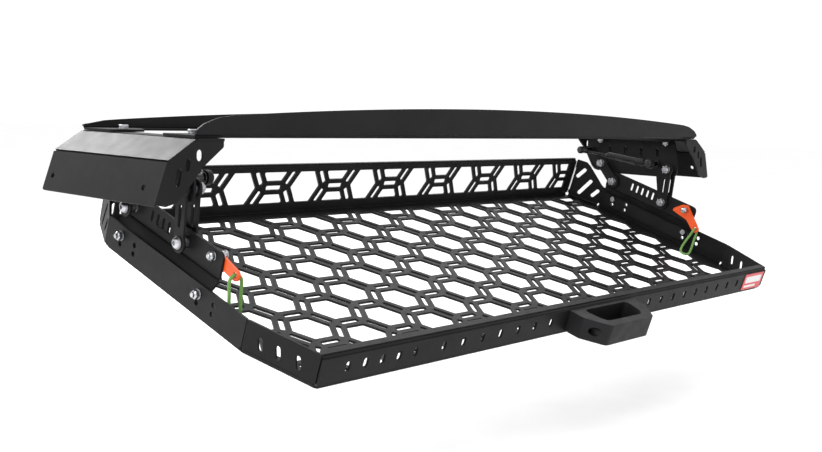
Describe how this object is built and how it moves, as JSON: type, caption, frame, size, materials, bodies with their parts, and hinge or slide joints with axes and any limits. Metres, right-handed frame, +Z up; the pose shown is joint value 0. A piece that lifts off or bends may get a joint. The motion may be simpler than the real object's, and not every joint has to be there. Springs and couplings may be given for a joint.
{
  "type": "drop-down roof shelf",
  "caption": "Perforated steel tray hung on swing links and gas struts from a wing-ended roof frame, with cord-pulled latches and a moulded pull handle.",
  "frame": {"origin": "mid-width and mid-length of the roof wings, on the top face of their flanges", "axes": "+X to the right across the vehicle, +Y from the front lip towards the rear wall, +Z up"},
  "size_m": [1.208, 0.4869, 0.3065],
  "materials": {
    "powder_coat": "fine-textured black powder coat",
    "zinc": "bright zinc plate",
    "orange": "satin powder coat",
    "cord": "braided cord",
    "moulded": "fine-grained moulding",
    "strut_black": "gloss black",
    "rod_steel": "ground rod",
    "label": "printed film"
  },
  "bodies": {
    "frame": {"roof_wing_left": "powder_coat", "roof_wing_right": "powder_coat", "front_cross_rail": "powder_coat", "rear_cross_rail": "powder_coat", "link_bracket_left": "powder_coat", "link_bracket_right": "powder_coat", "front_rail_bolt_left": "zinc", "front_rail_bolt_right": "zinc", "rear_rail_bolt_left": "zinc", "rear_rail_bolt_right": "zinc", "front_upper_pivot_left": "zinc", "front_upper_pivot_right": "zinc", "rear_upper_pivot_left": "zinc", "rear_upper_pivot_right": "zinc", "strut_rear_stud_left": "zinc", "strut_rear_stud_right": "zinc"},
    "front_links": {"front_link_outer_left": "powder_coat", "front_link_outer_right": "powder_coat", "front_link_inner_left": "powder_coat", "front_link_inner_right": "powder_coat", "strut_front_stud_left": "zinc", "strut_front_stud_right": "zinc"},
    "rear_links": {"rear_link_outer_left": "powder_coat", "rear_link_outer_right": "powder_coat", "rear_link_inner_left": "powder_coat", "rear_link_inner_right": "powder_coat", "rear_lower_pivot_left": "zinc", "rear_lower_pivot_right": "zinc"},
    "tray": {"tray_floor": "powder_coat", "front_lip": "powder_coat", "front_corner_left": "powder_coat", "front_corner_right": "powder_coat", "side_wall_left": "powder_coat", "side_wall_right": "powder_coat", "rear_corner_left": "powder_coat", "rear_corner_right": "powder_coat", "rear_wall": "powder_coat", "tray_bracket_left": "powder_coat", "tray_bracket_right": "powder_coat", "front_lower_pivot_left": "zinc", "front_lower_pivot_right": "zinc", "front_side_bolt_left": "zinc", "front_side_bolt_right": "zinc", "rear_side_bolt_left": "zinc", "rear_side_bolt_right": "zinc", "latch_bolt_left": "zinc", "latch_bolt_right": "zinc", "pull_handle": "moulded", "handle_screw_left": "zinc", "handle_screw_right": "zinc", "lip_label": "label"},
    "strut_rods": {"strut_rod_left": "rod_steel", "strut_rod_right": "rod_steel"},
    "strut_cylinders": {"strut_cylinder_left": "strut_black", "strut_cylinder_right": "strut_black"},
    "latch_right": {"latch_lever_right": "orange", "pull_cord_right": "cord"},
    "latch_left": {"latch_lever_left": "orange", "pull_cord_left": "cord"}
  },
  "joints": [
    {"name": "front_link_swing", "type": "hinge", "parent": "frame", "child": "front_links", "pos_m": [0, -0.0784, -0.0581], "axis": [1, 0, 0], "range_deg": [0, 50]},
    {"name": "tray_tilt", "type": "hinge", "parent": "front_links", "child": "tray", "pos_m": [0, -0.0713, -0.1201], "axis": [1, 0, 0], "range_deg": [-67.5, 0]},
    {"name": "rear_link_swing", "type": "hinge", "parent": "frame", "child": "rear_links", "pos_m": [0, 0.0664, -0.0544], "axis": [1, 0, 0], "range_deg": [0, 73.5]},
    {"name": "strut_swing", "type": "hinge", "parent": "frame", "child": "strut_rods", "pos_m": [0, 0.096, -0.03], "axis": [1, 0, 0], "range_deg": [-5.2, 0]},
    {"name": "strut_stroke", "type": "slide", "parent": "strut_rods", "child": "strut_cylinders", "axis": [0, -0.9932, -0.1161], "range_m": [0, 0.0145]},
    {"name": "latch_turn_right", "type": "hinge", "parent": "tray", "child": "latch_right", "pos_m": [0.5251, -0.12274, -0.12981], "axis": [-1, 0, 0], "range_deg": [0, 15], "stiffness_Nm_per_rad": 0.2, "springref_deg": -8.59},
    {"name": "latch_turn_left", "type": "hinge", "parent": "tray", "child": "latch_left", "pos_m": [-0.5251, -0.12274, -0.12981], "axis": [-1, 0, 0], "range_deg": [0, 15], "stiffness_Nm_per_rad": 0.2, "springref_deg": -8.59}
  ],
  "couplings": [
    {"joint": "tray_tilt", "follows": "front_link_swing", "ratio": -1.3454},
    {"joint": "rear_link_swing", "follows": "front_link_swing", "ratio": 1.468},
    {"joint": "strut_swing", "follows": "front_link_swing", "ratio": -0.101},
    {"joint": "strut_stroke", "follows": "front_link_swing", "m_per_rad": 0.0155}
  ]
}
